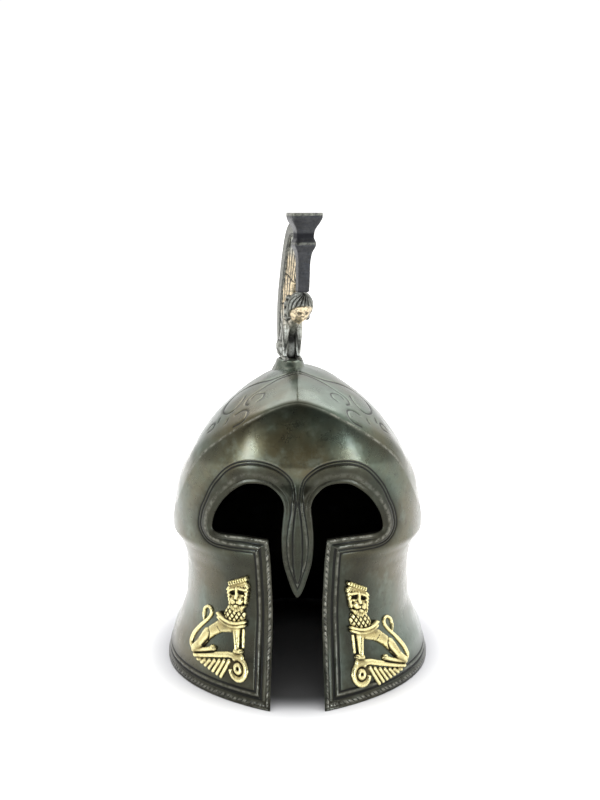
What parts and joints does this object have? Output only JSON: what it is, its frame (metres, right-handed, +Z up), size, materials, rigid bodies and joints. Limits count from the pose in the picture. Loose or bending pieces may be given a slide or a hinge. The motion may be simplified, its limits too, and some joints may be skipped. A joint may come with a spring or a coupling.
{
  "type": "corinthian helmet",
  "caption": "Small cast-bronze Corinthian helmet with leaf-shaped nasal, flared neck guard, brass lion reliefs on the cheeks and a winged crest figure under an arched rail.",
  "frame": {"origin": "on the surface that it stands on, under the middle of its bounding box", "axes": "+Z up, -Y the way the face looks, +X towards the wearer's left cheek"},
  "size_m": [0.1174, 0.1342, 0.1968],
  "materials": {
    "patinated_bronze": "cast bronze with a dark olive-green patina, semi-gloss",
    "worn_brass": "brass worn bright on the high places and dark in the recesses",
    "gilt_bronze": "dark cast bronze with pale gilt on its high places",
    "dark_bronze": "dark grey-green patina, semi-gloss"
  },
  "bodies": {
    "root": {"helmet_shell": "patinated_bronze", "lion_left": "worn_brass", "lion_right": "worn_brass", "crest_figure": "gilt_bronze", "crest_rail": "dark_bronze"}
  },
  "joints": []
}
